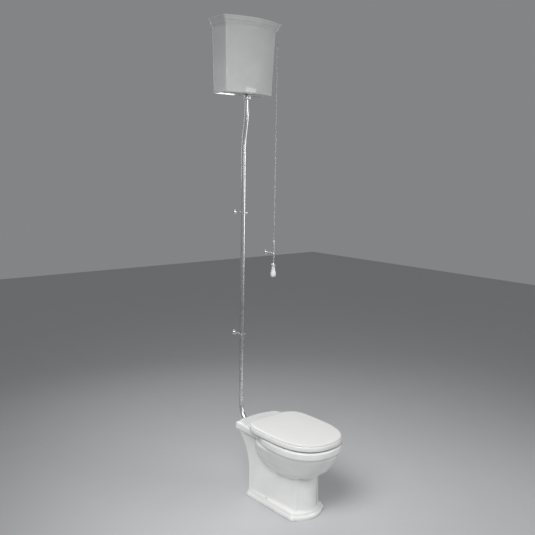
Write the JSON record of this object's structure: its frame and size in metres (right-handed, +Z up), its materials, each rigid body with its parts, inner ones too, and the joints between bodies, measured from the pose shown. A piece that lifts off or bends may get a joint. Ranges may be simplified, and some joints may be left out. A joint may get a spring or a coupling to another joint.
{
  "type": "high-level toilet",
  "caption": "High-level toilet: floor-standing china pan with seat and wrap-over lid, wall cistern with cornice lid, long flush pipe held in clips, and a flush lever worked by a pull chain.",
  "frame": {"origin": "on the floor, under the middle of the back edge of the pan's foot", "axes": "+Z up, +Y towards the wall, +X to the right of someone who faces the wall"},
  "size_m": [0.4435, 0.8141, 2.584],
  "materials": {
    "china": "white vitreous china, fired glossy glaze",
    "lacquer": "white moulded thermoset, satin gloss",
    "plastic": "white injection-moulded plastic",
    "chrome": "polished chrome plate",
    "brass": "turned brass, plain",
    "steel": "stainless steel, as turned",
    "rubber": "black rubber, matt"
  },
  "bodies": {
    "toilet": {"pan": "china", "cistern_body": "china", "hinge_post_left": "plastic", "hinge_post_right": "plastic", "seat_nut_left": "plastic", "seat_nut_right": "plastic", "siphon_body": "plastic", "lever_fork": "plastic", "tail_back_nut": "chrome", "pipe_union_nut": "chrome", "flush_pipe": "chrome", "clip_rose_upper": "chrome", "clip_rose_lower": "chrome", "clip_ring_upper": "chrome", "clip_ring_lower": "chrome", "clip_screw_upper": "chrome", "clip_screw_lower": "chrome", "lever_pin": "chrome", "lever_escutcheon": "chrome", "guide_rose": "chrome", "guide_arm": "chrome", "valve_body": "brass", "valve_back_nut": "brass", "hinge_pin_left": "steel", "hinge_pin_right": "steel", "seat_bolt_left": "steel", "seat_bolt_right": "steel", "foot_bracket_left": "steel", "foot_bracket_right": "steel", "foot_screw_left": "steel", "foot_screw_right": "steel", "flush_cone": "rubber", "siphon_washer": "rubber", "tail_washer": "rubber", "valve_washer": "rubber", "hinge_washer_left": "rubber", "hinge_washer_right": "rubber"},
    "seat": {"seat_ring": "lacquer", "seat_buffer_back_left": "rubber", "seat_buffer_back_right": "rubber", "seat_buffer_front_left": "rubber", "seat_buffer_front_right": "rubber"},
    "lid": {"seat_lid": "lacquer", "lid_buffer_left": "rubber", "lid_buffer_right": "rubber"},
    "pull": {"lever_ring": "chrome", "chain": "chrome", "rod_ring": "chrome", "pull_rod": "chrome", "handle_cap": "chrome", "pull_handle": "china"},
    "lever": {"flush_lever": "chrome"},
    "siphon_lift": {"siphon_rod": "brass", "siphon_plunger": "plastic", "siphon_diaphragm": "rubber", "siphon_link": "brass"},
    "float": {"float_arm": "brass", "float_ball": "plastic"},
    "cistern_lid": {"cistern_lid": "china"}
  },
  "joints": [
    {"name": "lid_hinge", "type": "hinge", "parent": "toilet", "child": "lid", "pos_m": [0, -0.018, 0.424], "axis": [-1, 0, 0], "range_deg": [0, 105]},
    {"name": "seat_hinge", "type": "hinge", "parent": "toilet", "child": "seat", "pos_m": [0, -0.018, 0.424], "axis": [-1, 0, 0], "range_deg": [0, 100]},
    {"name": "pull_slide", "type": "slide", "parent": "toilet", "child": "pull", "axis": [0, 0, -1], "range_m": [0, 0.02595], "stiffness_N_per_m": 200, "springref_m": -0.03},
    {"name": "lever_swing", "type": "hinge", "parent": "toilet", "child": "lever", "pos_m": [0.147, 0.224, 2.483], "axis": [0, 1, 0], "range_deg": [0, 18]},
    {"name": "siphon_slide", "type": "slide", "parent": "toilet", "child": "siphon_lift", "axis": [0, 0, 1], "range_m": [0, 0.0269]},
    {"name": "float_hinge", "type": "hinge", "parent": "toilet", "child": "float", "pos_m": [0.085, 0.264, 2.455], "axis": [0, 1, 0], "range_deg": [0, 20]},
    {"name": "cistern_lid_lift", "type": "slide", "parent": "toilet", "child": "cistern_lid", "axis": [0, 0, 1], "range_m": [0, 0.15]}
  ],
  "couplings": [
    {"joint": "seat_hinge", "follows": "lid_hinge", "ratio": 0.95},
    {"joint": "lever_swing", "follows": "pull_slide", "rad_per_m": 12.1},
    {"joint": "siphon_slide", "follows": "pull_slide", "ratio": 1.0357}
  ]
}
